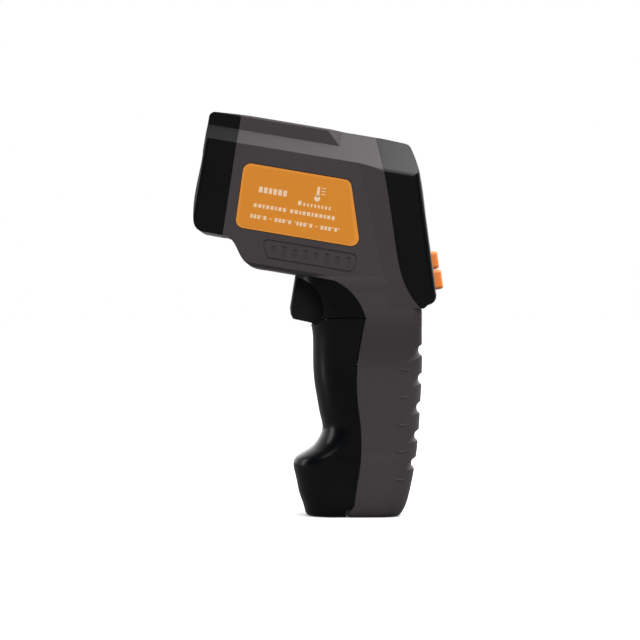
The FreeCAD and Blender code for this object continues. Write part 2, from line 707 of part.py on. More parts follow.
def spring_coil():
    """A torsion spring round the trigger's pin, drawn as closed rings joined by its two legs."""
    x, z = TRIGGER_PIN
    pitch = SPRING_WIRE * 1.9
    solid = Part.makeTorus(SPRING_R, SPRING_WIRE, V(x, SPRING_Y, z), V(0, 1, 0))
    for i in range(1, SPRING_TURNS):
        solid = solid.fuse(Part.makeTorus(SPRING_R, SPRING_WIRE, V(x, SPRING_Y + i * pitch, z), V(0, 1, 0)))
    last = V(x - SPRING_R, SPRING_Y + (SPRING_TURNS - 1) * pitch, z)
    upper_leg = Part.makeCylinder(SPRING_WIRE, 8, last, V(0.1, 0, 1))
    return solid.fuse(spring_leg(SPRING_WIRE, 9.0)).fuse(upper_leg)


def screw(x, z):
    head = rod(x, z, HEAD_R, HEAD_Y, HEAD_Y + 2.0)
    dome = Part.makeSphere(5.2, V(x, HEAD_Y - 2.9, z))
    head = head.common(dome)
    shank = rod(x, z, SHANK_R, -8.0, HEAD_Y)
    cross = Part.makeBox(0.7, 1.6, 2.6, V(x - 0.35, HEAD_Y + 1.1, z - 1.3))
    other = Part.makeBox(2.6, 1.6, 0.7, V(x - 1.3, HEAD_Y + 1.1, z - 0.35))
    return head.fuse(shank).cut(cross).cut(other)


def board_screw(s, y):
    head = rod_face(s, y, 1.7, BOARD_BACK - 1.2, BOARD_BACK)
    slot = box_face(s - 1.3, s + 1.3, y - 0.25, y + 0.25, BOARD_BACK - 1.3, BOARD_BACK - 0.7)
    shank = rod_face(s, y, 0.9, BOARD_BACK, BOARD_FRONT + 4.5)
    return head.fuse(shank).cut(slot)




def battery():
    """A nine volt block with its two snap terminals."""
    dx, dy, dz = BATTERY
    block = Part.makeBox(dx, dy, dz, V(BATTERY_X0, -dy / 2, BATTERY_Z0))
    upright = [e for e in block.Edges if abs(e.tangentAt(0).z) > 0.9]
    block = block.makeFillet(2.0, upright)
    top = BATTERY_Z0 + dz
    middle = BATTERY_X0 + dx / 2
    stud = Part.makeCylinder(2.9, 2.1, V(middle, -6.35, top))
    socket = Part.makeCylinder(3.7, 2.1, V(middle, 6.35, top))
    return block.fuse(stud).fuse(socket)


def battery_tray():
    """The open-fronted compartment that the battery stands in."""
    dx, dy, dz = BATTERY
    x0, x1 = BATTERY_X0 + 4.0, BATTERY_X0 + dx + 0.6
    z0, z1 = BATTERY_Z0 - 1.2, BATTERY_Z0 + dz - 6
    block = Part.makeBox(x1 - x0, dy + 2.2, z1 - z0, V(x0, -dy / 2 - 1.1, z0))
    hollow = Part.makeBox(dx, dy + 0.4, dz, V(BATTERY_X0 + 0.1, -dy / 2 - 0.2, BATTERY_Z0))
    return block.cut(hollow)


def battery_snap():
    top = BATTERY_Z0 + BATTERY[2] + 2.1
    middle = BATTERY_X0 + BATTERY[0] / 2
    wire = rounded([(middle - 6.2, -12.6, 5.0), (middle + 6.2, -12.6, 5.0), (middle + 6.2, 12.6, 5.0),
                    (middle - 6.2, 12.6, 5.0)])
    wire.rotate(V(0, 0, 0), V(1, 0, 0), 90)
    plate = Part.Face(wire).extrude(V(0, 0, 2.2))
    plate.translate(V(0, 0, top))
    return plate


def lead(y, points, radius):
    """A battery lead: straight runs in a plane of constant y joined by arcs."""
    pieces = []
    pts = [V(x, y, z) for x, z in points]
    here = pts[0]
    for i in range(1, len(pts) - 1):
        back = pts[i - 1] - pts[i]
        ahead = pts[i + 1] - pts[i]
        shorter = min(back.Length, ahead.Length)
        turn = math.pi - back.getAngle(ahead)
        reach = 0.45 * shorter
        bend = reach / math.tan(turn / 2)
        back.normalize()
        ahead.normalize()
        start, end = pts[i] + back * reach, pts[i] + ahead * reach
        bisector = back + ahead
        bisector.normalize()
        middle = pts[i] + bisector * (math.hypot(bend, reach) - bend)
        pieces.append(Part.makeLine(here, start))
        pieces.append(Part.Arc(start, middle, end).toShape())
        here = end
    pieces.append(Part.makeLine(here, pts[-1]))
    path = Part.Wire(pieces)
    direction = pts[1] - pts[0]
    profile = Part.Wire([Part.makeCircle(radius, pts[0], direction)])
    return path.makePipeShell([profile], True, False)


def ribbon():
    """The flat cable from the sensor's board to the main board."""
    lower = [barrel(43.1, -27.0), barrel(50.0, -27.6), (15.0, 115.2), (23.0, 114.2), face(2.5, BOARD_BACK)]
    upper = [barrel(43.1, -26.5), barrel(50.0, -27.1), (15.0, 115.7), (23.0, 114.7), face(2.0, BOARD_BACK)]
    return prism(polygon(*(lower + upper[::-1])), -6, 6)


def foam_pad():
    """The pad inside the door, which steadies the battery."""
    return inner.common(Part.makeBox(12.2, 16, 12, V(-5.2, -8, 42)))


LEAD_ROUTE = [(BATTERY_X0 + 13.6, 57.6), (24.0, 58.9), (25.2, 64.5), (26.4, 72.5), (29.0, 80.0)]


def keep(name, shape):
    nodes[name] = shape


keep("left_shell", half_shell(-1))
keep("right_shell", half_shell(1))
keep("nose_bezel", nose_bezel())
keep("rear_cover", rear_cover())
keep("trigger_shroud", neck())
keep("battery_door", battery_door())
keep("trigger", trigger())
keep("trigger_pin", rod(*TRIGGER_PIN, 1.5, -17.0, 17.0))
keep("trigger_spring", spring_coil())
keep("trigger_switch", trigger_switch())
keep("trigger_switch_plunger", trigger_plunger())
keep("trigger_switch_board", Part.makeBox(1.6, 20.0, 15.0, V(SWITCH_X + 6.3, -10.0, 64.0)))
keep("door_pin", rod(*DOOR_PIN, 1.2, -9.4, 9.4))
keep("battery", battery())
keep("battery_snap", battery_snap())
keep("battery_tray", battery_tray())
keep("battery_foam_pad", foam_pad())
board = box_face(-20.0, 29.6, -16.0, 16.0, BOARD_BACK, BOARD_FRONT)
for name, y in (("battery_lead_red", -3.0), ("battery_lead_black", 3.0)):
    keep(name, lead(y, LEAD_ROUTE + [face(27.0, BOARD_BACK)], 0.6).cut(battery_snap()).cut(board))
keep("sensor_ribbon", ribbon())
for name in KEYS:
    case, plunger = key_switch(name)
    keep(name + "_key", key(name))
    keep(name + "_key_switch", case)
    keep(name + "_key_plunger", plunger)
for s, y in BOARD_SCREWS:
    board = board.cut(rod_face(s, y, 1.0, -20, 0))
keep("main_board", board)
keep("board_screws", Part.makeCompound([board_screw(s, y) for s, y in BOARD_SCREWS]))
keep("housing_screws", Part.makeCompound([screw(*boss_axis(*place)) for place in SCREW_PLACES]))
keep("lcd_window", lcd_window())
keep("lcd_panel", box_face(-17.6, 10.2, -12.2, 12.2, -5.2, -3.4))
keep("lcd_backlight", box_face(-15.4, 8.0, -12.2, 12.2, -8.4, -5.2))
keep("lcd_contact_strips", Part.makeCompound([box_face(s, s + 1.8, -11.0, 11.0, BOARD_FRONT, -5.2)
                                              for s in (-17.4, 8.2)]))
keep("processor", box_face(-14.0, -4.0, -5.0, 5.0, BOARD_BACK - 1.4, BOARD_BACK))
keep("buzzer", rod_face(16.0, 0, 5.5, BOARD_BACK - 4.2, BOARD_BACK))
ring = tube_u(LENS_W, 11.1, 4.2, 8.8)
keep("lens_ring", ring.cut(tube_u(LENS_W, 8.2, 4.0, 7.2)).cut(tube_u(LENS_W, 9.6, 5.6, 9.0)))
keep("lens", tube_u(LENS_W, 9.5, 5.7, 6.9))
tube = tube_u(LENS_W, 10.4, 9.1, 38.0)
keep("sensor_tube", tube.cut(tube_u(LENS_W, 9.2, 8.0, 36.5)).cut(tube_u(LENS_W, 4.7, 30.0, 40.0)))
keep("thermopile", tube_u(LENS_W, 4.6, 34.0, 41.4).fuse(tube_u(LENS_W, 5.2, 38.1, 38.9)))
keep("sensor_board", box_u(41.5, 43.1, -18.1, 18.1, -40.0, -14.0))
keep("laser_module", tube_u(LASER_W, 3.3, 4.0, 16.0))
keep("laser_holder", box_u(9.2, 14.6, -5.2, 5.2, -15.8, -6.0).cut(tube_u(LASER_W, 3.35, 0.0, 20.0)))
keep("laser_window", tube_u(LASER_W, 3.3, 2.5, 3.5))
for name, sign in (("left_label", -1), ("right_label", 1)):
    keep(name, prism(label_wire(0), sign * (SIDE - 0.5), sign * (SIDE - 0.05)))

os.makedirs("parts", exist_ok=True)
for name, shape in nodes.items():
    shape = shape.removeSplitter() if len(shape.Solids) == 1 else shape
    if len(shape.Solids) == 1:
        shape = shape.Solids[0]
    shape.translate(ORIGIN_SHIFT)
    shape.exportStep("parts/" + name + ".step")
    print(name, shape.isValid(), len(shape.Solids), round(shape.Volume, 1))
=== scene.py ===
import math

import bmesh
import bpy
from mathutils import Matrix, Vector
from mathutils.bvhtree import BVHTree


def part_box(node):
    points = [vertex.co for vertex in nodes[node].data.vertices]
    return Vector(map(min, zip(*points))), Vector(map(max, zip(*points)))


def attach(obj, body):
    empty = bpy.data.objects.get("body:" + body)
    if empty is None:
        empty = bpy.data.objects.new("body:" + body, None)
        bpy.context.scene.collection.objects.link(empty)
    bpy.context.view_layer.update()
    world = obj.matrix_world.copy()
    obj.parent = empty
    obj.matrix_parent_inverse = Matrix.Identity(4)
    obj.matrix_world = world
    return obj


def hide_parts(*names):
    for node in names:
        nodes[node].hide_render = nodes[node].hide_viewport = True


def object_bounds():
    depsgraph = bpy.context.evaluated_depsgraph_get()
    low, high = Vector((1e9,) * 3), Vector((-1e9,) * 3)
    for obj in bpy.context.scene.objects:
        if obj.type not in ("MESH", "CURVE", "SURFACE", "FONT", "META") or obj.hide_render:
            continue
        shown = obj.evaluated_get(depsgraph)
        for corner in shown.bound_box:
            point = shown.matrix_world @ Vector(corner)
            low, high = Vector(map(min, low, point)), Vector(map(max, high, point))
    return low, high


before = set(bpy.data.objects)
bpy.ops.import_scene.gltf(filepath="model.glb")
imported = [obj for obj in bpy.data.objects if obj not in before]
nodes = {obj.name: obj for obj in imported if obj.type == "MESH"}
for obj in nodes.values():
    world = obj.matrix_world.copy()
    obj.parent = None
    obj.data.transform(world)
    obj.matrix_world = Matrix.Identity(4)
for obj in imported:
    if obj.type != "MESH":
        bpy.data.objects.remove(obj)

MM = 0.001
cad_low, cad_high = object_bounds()

# The barrel is tilted: U runs back along it, W stands square to it.
# DOWN runs down the rear face, and OUT points off it.
TILT = math.radians(9.5)
U = Vector((math.cos(TILT), 0, -math.sin(TILT)))
W = Vector((math.sin(TILT), 0, math.cos(TILT)))
FACE_TILT = math.radians(7.7)
OUT = Vector((math.cos(FACE_TILT), 0, math.sin(FACE_TILT)))
DOWN = Vector((math.sin(FACE_TILT), 0, -math.cos(FACE_TILT)))
ACROSS = Vector((0, 1, 0))


def span(node, axis):
    """The lowest and highest measure of a CAD node along an axis."""
    reach = [axis.dot(v.co) for v in nodes[node].data.vertices]
    return min(reach), max(reach)


# ---- materials ----
def link(tree, a, b):
    tree.links.new(a, b)


ROUGH_VARY = 0.12         # how far the roughness wanders either way, as a share of it


def moulded(name, colour, rough, patch=0.012, vary=0.10, grain=0.00035, relief=0.000006,
            specular=0.5, coat=0.0, metallic=0.0, sheen=0.0, speckle=0.0):
    """A plastic, rubber or metal with cloudy colour, uneven gloss and a fine moulded grain.

    Patch is the size of the clouds, grain the size of the grain and relief its height, in metres.
    """
    mat = bpy.data.materials.new(name)
    mat.use_nodes = True
    tree = mat.node_tree
    shader = tree.nodes["Principled BSDF"]
    shader.inputs["Specular IOR Level"].default_value = specular
    shader.inputs["Coat Weight"].default_value = coat
    shader.inputs["Coat Roughness"].default_value = 0.08
    shader.inputs["Metallic"].default_value = metallic
    shader.inputs["Sheen Weight"].default_value = sheen
    place = tree.nodes.new("ShaderNodeTexCoord")
    cloud = tree.nodes.new("ShaderNodeTexNoise")
    cloud.inputs["Scale"].default_value = 1.0 / patch
    cloud.inputs["Detail"].default_value = 4.0
    link(tree, place.outputs["Object"], cloud.inputs["Vector"])
    fine = tree.nodes.new("ShaderNodeTexNoise")
    fine.inputs["Scale"].default_value = 1.0 / grain
    fine.inputs["Detail"].default_value = 2.0
    link(tree, place.outputs["Object"], fine.inputs["Vector"])
    mix = tree.nodes.new("ShaderNodeMixRGB")
    mix.inputs["Color1"].default_value = (*[c * (1 - vary) for c in colour], 1)
    mix.inputs["Color2"].default_value = (*[c * (1 + vary) for c in colour], 1)
    link(tree, cloud.outputs["Fac"], mix.inputs["Fac"])
    shown = mix.outputs["Color"]
    if speckle:
        dots = tree.nodes.new("ShaderNodeMixRGB")
        dots.blend_type = "MULTIPLY"
        dots.inputs["Fac"].default_value = speckle
        link(tree, shown, dots.inputs["Color1"])
        ramp = tree.nodes.new("ShaderNodeValToRGB")
        ramp.color_ramp.elements[0].position = 0.35
        ramp.color_ramp.elements[1].position = 0.65
        ramp.color_ramp.elements[0].color = (0.55, 0.55, 0.55, 1)
        ramp.color_ramp.elements[1].color = (1.4, 1.4, 1.4, 1)
        link(tree, fine.outputs["Fac"], ramp.inputs["Fac"])
        link(tree, ramp.outputs["Color"], dots.inputs["Color2"])
        shown = dots.outputs["Color"]
    link(tree, shown, shader.inputs["Base Color"])
    gloss = tree.nodes.new("ShaderNodeMapRange")
    gloss.inputs["To Min"].default_value = rough * (1 - ROUGH_VARY)
    gloss.inputs["To Max"].default_value = min(1.0, rough * (1 + ROUGH_VARY))
    link(tree, cloud.outputs["Fac"], gloss.inputs["Value"])
    link(tree, gloss.outputs["Result"], shader.inputs["Roughness"])
    bump = tree.nodes.new("ShaderNodeBump")
    bump.inputs["Strength"].default_value = 1.0
    bump.inputs["Distance"].default_value = relief
    link(tree, fine.outputs["Fac"], bump.inputs["Height"])
    link(tree, bump.outputs["Normal"], shader.inputs["Normal"])
    return mat


def clear(name, colour, alpha, rough=0.05):
    """A clear, slightly tinted window."""
    mat = moulded(name, colour, rough, patch=0.02, vary=0.05, grain=0.004, relief=0.000002)
    mat.node_tree.nodes["Principled BSDF"].inputs["Alpha"].default_value = alpha
    return mat


def dress(obj, mat):
    obj.data.materials.clear()
    obj.data.materials.append(mat)


GREY = moulded("grey_shell", (0.047, 0.0395, 0.0415), 0.42, patch=0.03, vary=0.05, grain=0.00030,
               relief=0.000012, speckle=0.10, specular=0.19)
BLACK = moulded("black_moulding", (0.0022, 0.0024, 0.0025), 0.30, patch=0.02, vary=0.2,
                grain=0.00035, relief=0.000010, speckle=0.2, specular=0.17)
SATIN = moulded("black_satin", (0.0017, 0.0020, 0.0024), 0.26, patch=0.03, vary=0.15, grain=0.0006,
                relief=0.000005, specular=0.15)
TRIGGER_BLACK = moulded("trigger_black", (0.0050, 0.0054, 0.0060), 0.36, patch=0.02, vary=0.15,
                        grain=0.0004, relief=0.000008, specular=0.20)
ORANGE = moulded("label_orange", (0.655, 0.231, 0.0185), 0.42, patch=0.05, vary=0.03, grain=0.0005,
                 relief=0.000002, specular=0.25)
# the labels' rim: a lighter orange that is a painted highlight, standing in for the light caught on the
# label's edge
ORANGE_RIM_HIGHLIGHT = moulded("label_rim_painted_highlight", (0.71, 0.262, 0.030), 0.45, patch=0.02, vary=0.04, grain=0.0005,
                     relief=0.000002, specular=0.25)
PRINT = moulded("label_print", (0.80, 0.57, 0.36), 0.55, patch=0.01, vary=0.05, grain=0.0002,
                relief=0.000001)
KEY_ORANGE = moulded("key_rubber", (0.84, 0.23, 0.035), 0.45, patch=0.008, vary=0.06, grain=0.00025,
                     relief=0.000008, sheen=0.05)
KEY_MARK = moulded("key_mark", (0.85, 0.80, 0.72), 0.6, patch=0.004, vary=0.05, grain=0.0002,
                   relief=0.000002)
STEEL = moulded("steel", (0.55, 0.55, 0.56), 0.26, patch=0.003, vary=0.08, grain=0.0002,
                relief=0.000002, metallic=1.0)
BRASS = moulded("brass", (0.65, 0.47, 0.20), 0.28, patch=0.003, vary=0.08, grain=0.0002,
                relief=0.000002, metallic=1.0)
BOARD = moulded("board_green", (0.018, 0.10, 0.045), 0.38, patch=0.004, vary=0.18, grain=0.0008,
                relief=0.000006)
CHIP = moulded("chip_black", (0.012, 0.012, 0.013), 0.45, patch=0.004, vary=0.2, grain=0.0002,
               relief=0.000006)
FOAM = moulded("foam", (0.035, 0.035, 0.038), 0.95, patch=0.003, vary=0.25, grain=0.0005,
               relief=0.00012, speckle=0.5)
RED_LEAD = moulded("red_lead", (0.50, 0.02, 0.018), 0.38, patch=0.006, vary=0.1, grain=0.0006,
                   relief=0.000006)
BLACK_LEAD = moulded("black_lead", (0.012, 0.012, 0.013), 0.38, patch=0.006, vary=0.2, grain=0.0006,
                     relief=0.000006)
RIBBON = moulded("ribbon_cream", (0.62, 0.60, 0.54), 0.5, patch=0.006, vary=0.06, grain=0.0006,
                 relief=0.000006)
CELL = moulded("battery_case", (0.035, 0.045, 0.075), 0.3, patch=0.012, vary=0.12, grain=0.0008,
               relief=0.000004)
PANEL = moulded("lcd_grey", (0.40, 0.45, 0.37), 0.32, patch=0.02, vary=0.05, grain=0.0005,
                relief=0.000002)
LIGHTBOX = moulded("lcd_light_guide", (0.78, 0.80, 0.78), 0.4, patch=0.01, vary=0.05, grain=0.0005,
                   relief=0.000002)
SEGMENT = moulded("lcd_segment", (0.018, 0.020, 0.022), 0.35, patch=0.01, vary=0.1, grain=0.0005,
                  relief=0.000001)
OPTIC = moulded("infrared_lens", (0.30, 0.29, 0.27), 0.22, patch=0.004, vary=0.08, grain=0.0006,
                relief=0.000002, coat=0.5)
WINDOW = clear("lcd_window_clear", (0.05, 0.055, 0.06), 0.18)
LASER_GLASS = clear("laser_window_red", (0.25, 0.02, 0.02), 0.65)

FINISH = {
    "left_shell": GREY, "right_shell": GREY, "nose_bezel": BLACK, "rear_cover": BLACK,
    "trigger_shroud": SATIN, "battery_door": SATIN, "trigger": TRIGGER_BLACK, "trigger_pin": STEEL,
    "trigger_spring": STEEL, "trigger_switch": CHIP, "trigger_switch_plunger": KEY_ORANGE,
    "trigger_switch_board": BOARD, "door_pin": STEEL, "battery": CELL, "battery_snap": BLACK_LEAD,
    "battery_tray": CHIP, "battery_foam_pad": FOAM, "battery_lead_red": RED_LEAD,
    "battery_lead_black": BLACK_LEAD, "sensor_ribbon": RIBBON, "upper_key": KEY_ORANGE,
    "upper_key_switch": STEEL, "upper_key_plunger": CHIP, "lower_key": KEY_ORANGE,
    "lower_key_switch": STEEL, "lower_key_plunger": CHIP, "main_board": BOARD,
    "board_screws": STEEL, "housing_screws": STEEL, "lcd_window": WINDOW, "lcd_panel": PANEL,
    "lcd_backlight": LIGHTBOX, "lcd_contact_strips": FOAM, "processor": CHIP, "buzzer": CHIP,
    "lens_ring": BLACK, "lens": OPTIC, "sensor_tube": CHIP, "thermopile": STEEL,
    "sensor_board": BOARD, "laser_module": BRASS, "laser_holder": CHIP, "laser_window": LASER_GLASS,
    # the label parts show only as the rim around the printed face, painted lighter as a highlight
    "left_label": ORANGE_RIM_HIGHLIGHT, "right_label": ORANGE_RIM_HIGHLIGHT,
}
for node, mat in FINISH.items():
    dress(nodes[node], mat)


# ---- building meshes ----
def piece(name, bm, mat, body, smooth=False):
    """Turn a built mesh into an object that rides on a body."""
    mesh = bpy.data.meshes.new(name)
    bmesh.ops.recalc_face_normals(bm, faces=bm.faces)
    bm.to_mesh(mesh)
    bm.free()
    if smooth:
        for polygon in mesh.polygons:
            polygon.use_smooth = True
    obj = bpy.data.objects.new(name, mesh)
    bpy.context.scene.collection.objects.link(obj)
    obj.data.materials.append(mat)
    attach(obj, body)
    return obj


def rounded(corners, radius, steps=6):
    """A convex outline with each of its corners, given as (a, b) pairs, replaced by an arc."""
    points = []
    count = len(corners)
    for i, corner in enumerate(corners):
        here = Vector(corner)
        before = (Vector(corners[i - 1]) - here).normalized()
        after = (Vector(corners[(i + 1) % count]) - here).normalized()
        half = before.angle(after) / 2
        middle = here + (before + after).normalized() * radius / math.sin(half)
        start = here + before * radius / math.tan(half) - middle
        end = here + after * radius / math.tan(half) - middle
        turn = start.angle_signed(end)
        for k in range(steps + 1):
            angle = turn * k / steps
            c, s = math.cos(angle), -math.sin(angle)
            points.append(middle + Vector((start.x * c - start.y * s, start.x * s + start.y * c)))
    return points


def plate(bm, points, origin, along, across, normal, low, high, edge=0.0):
    """A flat plate from low to high off the origin's plane, its outline given in (along, across)."""
    layers = [(0.0, low), (0.0, high - edge)]
    if edge:
        layers.append((edge, high))
    centre = sum(points, Vector((0, 0))) / len(points)
    rings = []
    for inset, lift in layers:
        ring = []
        for p in points:
            q = p - (p - centre).normalized() * inset
            ring.append(bm.verts.new(origin + along * q.x + across * q.y + normal * lift))
        rings.append(ring)
    bm.faces.new(rings[0])
    bm.faces.new(rings[-1])
    for a, b in zip(rings, rings[1:]):
        for i in range(len(points)):
            j = (i + 1) % len(points)
            bm.faces.new((a[i], a[j], b[j], b[i]))


def bar(a, b, width, height):
    """The corners of a small upright bar, for printed marks."""
    return [(a, b), (a + width, b), (a + width, b + height), (a, b + height)]


# ---- side labels: a printed face inside a rim painted lighter orange as a painted highlight on the label's edge, with plain marks for the maker's print ----
LABEL_TOP_LENGTH = 40.9   # millimetres along the upper edge; the lower edge runs further back
# the width of the label's rim, which is painted lighter as a highlight on its edge
LABEL_RIM = 0.8
LABEL_CORNER = 2.4
PRINT_THICK = 0.075
PRINT_ENDS = 46.5         # a mark's distances from the starts of the left and right print add up to this
DASH, DOT = 0.8, 0.4      # widths that stand for a dash and a raised dot in the last row


def label(side, node):
    u0, u1 = span(node, U)
    w0, w1 = span(node, W)
    low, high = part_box(node)
    origin = U * u0 + W * w0
    origin.y = low.y if side < 0 else high.y
    normal = Vector((0, side, 0))
    rim = LABEL_RIM * MM
    wide, tall = u1 - u0, w1 - w0
    corners = [(rim + 0.55 * MM, rim), (wide - rim * 1.3, rim),
               (LABEL_TOP_LENGTH * MM - rim * 0.8, tall - rim), (rim, tall - rim)]
    bm = bmesh.new()
    plate(bm, rounded(corners, LABEL_CORNER * MM), origin, U, W, normal, -0.05 * MM, 0.05 * MM, 0.02 * MM)
    piece(f"{node}_face", bm, ORANGE, "housing")
    bm = bmesh.new()

    def across_label(x):
        """The print reads from left to right on both sides, so on the right it runs the other way."""
        return x if side < 0 else PRINT_ENDS - x

    def printed(points):
        plate(bm, points, origin, U, W, normal, 0.0, PRINT_THICK * MM)

    def mark(points, radius):
        corners = [(across_label(x) * MM, y * MM) for x, y in points]
        printed(rounded(corners, radius * MM, 2))

    # a short bold row, top left
    across, row = 7.2, 14.3
    for width in (1.35, 1.35, 1.15, 1.35, 1.35, 1.35):
        mark(bar(across, row, width, 2.3), 0.3)
        across += width + 0.55
    # a small sign, top right: a thermometer tube with its bulb, and three ticks
    mark(bar(28.9, 16.2, 1.1, 4.0), 0.5)
    bulb_across, bulb_row, bulb_radius, bulb_sides = 29.45, 15.6, 1.15, 14
    bulb = []
    for i in range(bulb_sides):
        angle = i * math.tau / bulb_sides
        bulb.append(Vector((across_label(bulb_across + bulb_radius * math.cos(angle)) * MM,
                            (bulb_row + bulb_radius * math.sin(angle)) * MM)))
    printed(bulb)
    for k in range(3):
        mark(bar(30.7, 17.3 + k * 1.15, 1.5, 0.35), 0.12)
    # a row of small marks under the sign, the first one taller
    across, row = 22.6, 12.0
    for width in (1.5, 0.9, 0.8, 0.8, 0.9, 0.8, 0.8, 0.9, 0.8):
        mark(bar(across, row, width * 0.86, 1.25 if width < 1 else 1.75), 0.16)
        across += width + 0.55
    # two groups of marks in the next row down
    across, row = 6.2, 8.55
    for group in (8, 11):
        for k in range(group):
            width = 1.15 if (k * 5 + group) % 3 else 0.75
            mark(bar(across, row, width, 1.45), 0.16)
            across += width + 0.56
        across += 1.1
    # and the last row, with dashes and raised dots among the marks
    across, row = 5.6, 4.3
    for group in ((0.7, 0.9, 0.9, DOT, 0.9), (DASH,), (0.9, 0.9, 0.9, DOT, 0.9),
                  (DOT, 0.7, 0.9, 0.9, DOT, 0.9), (DASH,), (0.9, 0.9, 0.9, DOT, 0.9, DOT)):
        for width in group:
            lift, height = {DASH: (0.6, 0.35), DOT: (1.0, 0.5)}.get(width, (0.0, 1.5))
            mark(bar(across, row + lift, width * 1.15, height), 0.12)
            across += width * 1.15 + 0.42
        across += 0.75
    piece(f"{node}_print", bm, PRINT, "housing")


label(-1, "left_label")
label(1, "right_label")


# ---- the display: seven-part figures standing on the panel ----
FIGURE_PARTS = {"a": ((0, 0), (1, 0)), "b": ((1, 0), (1, 1)), "c": ((1, 1), (1, 2)), "d": ((0, 2), (1, 2)),
                "e": ((0, 1), (0, 2)), "f": ((0, 0), (0, 1)), "g": ((0, 1), (1, 1))}
LIT_PARTS = {"1": "bc", "2": "abged", "3": "abgcd", "4": "fgbc", "6": "afgedc"}


def display():
    top_edge = span("lcd_panel", DOWN)[0]
    surface = span("lcd_panel", OUT)[1]
    origin = DOWN * top_edge + OUT * surface
    bm = bmesh.new()

    def shown(points):
        plate(bm, points, origin, ACROSS, DOWN, OUT, 0.02 * MM, 0.10 * MM)

    def stroke(a, b, thick, top, left, size):
        """One part of a figure, from a to b in units of the figure's width and half height."""
        pa = Vector((left + a[0] * size, top + a[1] * size))
        pb = Vector((left + b[0] * size, top + b[1] * size))
        d = (pb - pa).normalized()
        side = Vector((-d.y, d.x)) * thick / 2
        tip = d * thick / 2
        gap = d * thick * 0.16
        a0, b0 = pa + gap, pb - gap
        shown([a0, a0 + tip + side, b0 - tip + side, b0, b0 - tip - side, a0 + tip - side])

    def figure(char, left, top, size, thick):
        for part in LIT_PARTS[char]:
            stroke(*FIGURE_PARTS[part], thick * MM, top * MM, left * MM, size * MM)

    def corners(*pairs):
        return [(x * MM, y * MM) for x, y in pairs]

    # three large figures with a point before the last, and three small ones below
    for left, char in ((-9.6, "2"), (-2.7, "3"), (5.1, "6")):
        figure(char, left, 8.2, 4.75, 1.05)
    shown(rounded(corners((4.5, 17.1), (5.5, 17.1), (5.5, 18.1), (4.5, 18.1)), 0.3 * MM, 3))
    for k, char in enumerate("241"):
        figure(char, -3.0 + k * 3.6, 21.6, 1.75, 0.5)
    # the battery's bar, top left, and four rising bars, top right
    shown(rounded(corners((-10.0, 3.0), (-5.0, 3.0), (-5.0, 5.0), (-10.0, 5.0)), 0.4 * MM, 3))
    for k in range(4):
        left, right = 4.2 + k * 1.7, 5.3 + k * 1.7
        top, foot = 4.4 - k * 0.55, 5.0
        shown([Vector(p) for p in corners((left, foot), (right, foot), (right, top), (left, top))])
    piece("lcd_figures", bm, SEGMENT, "housing")


display()


# ---- marks on the two keys ----
def key_mark(node, body, kind):
    """A triangle or three bars, let into the key's face."""
    origin = DOWN * sum(span(node, DOWN)) / 2 + OUT * span(node, OUT)[1]
    bm = bmesh.new()
    if kind == "triangle":
        marks = [[Vector(p) * MM for p in ((-1.5, 0.9), (1.5, 0.9), (0.0, -1.5))]]
    else:
        rows = [bar(-1.8, -1.5 + k * 1.2, 3.6, 0.5) for k in range(3)]
        marks = [rounded([(x * MM, y * MM) for x, y in row], 0.2 * MM, 2) for row in rows]
    for points in marks:
        plate(bm, points, origin, ACROSS, DOWN, OUT, -0.10 * MM, 0.02 * MM)
    piece(f"{node}_mark", bm, KEY_MARK, body)


key_mark("upper_key", "upper_key", "triangle")
key_mark("lower_key", "lower_key", "bars")


# ---- the handle's grooves end on each side in a small crescent lip ----
LIP_HEIGHTS = (58.0, 47.6, 37.0, 26.8, 16.2)
LIP_X = 33.0              # how far back the highest lip is
LIP_SLOPE = 0.05          # the lower ones follow the handle forwards
LIP_RADIUS, LIP_HALF_WIDTH, LIP_PROUD = 2.7, 0.5, 0.30
LIP_ROOT = -0.1           # its edges are sunk this far
LIP_FLATTEN = 0.75        # its arc is part of an ellipse
LIP_FROM, LIP_SWEEP = 190, 140


def crescent_lips(side, node):
    mesh = nodes[node].data
    skin = BVHTree.FromPolygons([v.co for v in mesh.vertices], [tuple(p.vertices) for p in mesh.polygons])
    bm = bmesh.new()
    steps = 14
    well_outside = side * 0.06
    for height in LIP_HEIGHTS:
        rows = []
        middle = LIP_X - LIP_SLOPE * (LIP_HEIGHTS[0] - height)
        for i in range(steps + 1):
            angle = math.radians(LIP_FROM + LIP_SWEEP * i / steps)
            full = 0.15 + 0.85 * math.sin(math.pi * i / steps)
            row = []
            for r, lift in ((LIP_RADIUS - LIP_HALF_WIDTH * full, LIP_ROOT), (LIP_RADIUS, LIP_PROUD * full),
                            (LIP_RADIUS + LIP_HALF_WIDTH * full, LIP_ROOT)):
                at = Vector(((middle + r * math.cos(angle)) * MM, well_outside,
                             (height + LIP_FLATTEN * r * math.sin(angle)) * MM))
                hit = skin.ray_cast(at, Vector((0, -side, 0)))[0]
                row.append(bm.verts.new(hit + Vector((0, side * lift * MM, 0))))
            rows.append(row)
        bm.faces.new(rows[0])
        bm.faces.new(rows[-1])
        for a, b in zip(rows, rows[1:]):
            for k in range(3):
                bm.faces.new((a[k], a[(k + 1) % 3], b[(k + 1) % 3], b[k]))
    piece(f"{node}_groove_lips", bm, GREY, "housing", smooth=True)


crescent_lips(-1, "left_shell")
crescent_lips(1, "right_shell")


